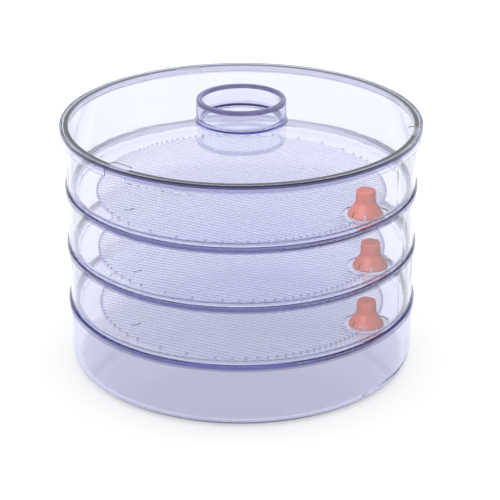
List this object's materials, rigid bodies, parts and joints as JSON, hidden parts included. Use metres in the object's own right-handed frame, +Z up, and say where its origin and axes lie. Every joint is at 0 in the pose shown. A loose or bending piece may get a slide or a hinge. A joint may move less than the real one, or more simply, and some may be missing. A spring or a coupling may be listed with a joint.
{
  "type": "stacking seed sprouter",
  "caption": "Round clear stacking sprouter: lid with hollow ring knob, ribbed growing trays with red bell siphon caps, and a plain catch tray.",
  "frame": {"origin": "centre of the underside of the base tray", "axes": "+Z up through the stack, -Y towards the front, +X to the right"},
  "size_m": [0.2004, 0.2004, 0.1528],
  "materials": {
    "clear_plastic": "clear, faint lilac-blue tint, polished",
    "cap_plastic": "satin, slightly translucent red"
  },
  "bodies": {
    "base": {"base_tray": "clear_plastic"},
    "lower_tray": {"lower_tray": "clear_plastic"},
    "middle_tray": {"middle_tray": "clear_plastic"},
    "upper_tray": {"upper_tray": "clear_plastic"},
    "lid": {"lid": "clear_plastic"},
    "lower_siphon_cap": {"lower_siphon_cap": "cap_plastic"},
    "middle_siphon_cap": {"middle_siphon_cap": "cap_plastic"},
    "upper_siphon_cap": {"upper_siphon_cap": "cap_plastic"}
  },
  "joints": [
    {"name": "lower_tray_lift", "type": "slide", "parent": "base", "child": "lower_tray", "axis": [0, 0, 1], "range_m": [0, 0.045]},
    {"name": "middle_tray_lift", "type": "slide", "parent": "lower_tray", "child": "middle_tray", "axis": [0, 0, 1], "range_m": [0, 0.045]},
    {"name": "upper_tray_lift", "type": "slide", "parent": "middle_tray", "child": "upper_tray", "axis": [0, 0, 1], "range_m": [0, 0.045]},
    {"name": "lid_lift", "type": "slide", "parent": "upper_tray", "child": "lid", "axis": [0, 0, 1], "range_m": [0, 0.045]},
    {"name": "lower_cap_lift", "type": "slide", "parent": "lower_tray", "child": "lower_siphon_cap", "axis": [0, 0, 1], "range_m": [0, 0.012]},
    {"name": "middle_cap_lift", "type": "slide", "parent": "middle_tray", "child": "middle_siphon_cap", "axis": [0, 0, 1], "range_m": [0, 0.012]},
    {"name": "upper_cap_lift", "type": "slide", "parent": "upper_tray", "child": "upper_siphon_cap", "axis": [0, 0, 1], "range_m": [0, 0.012]}
  ]
}
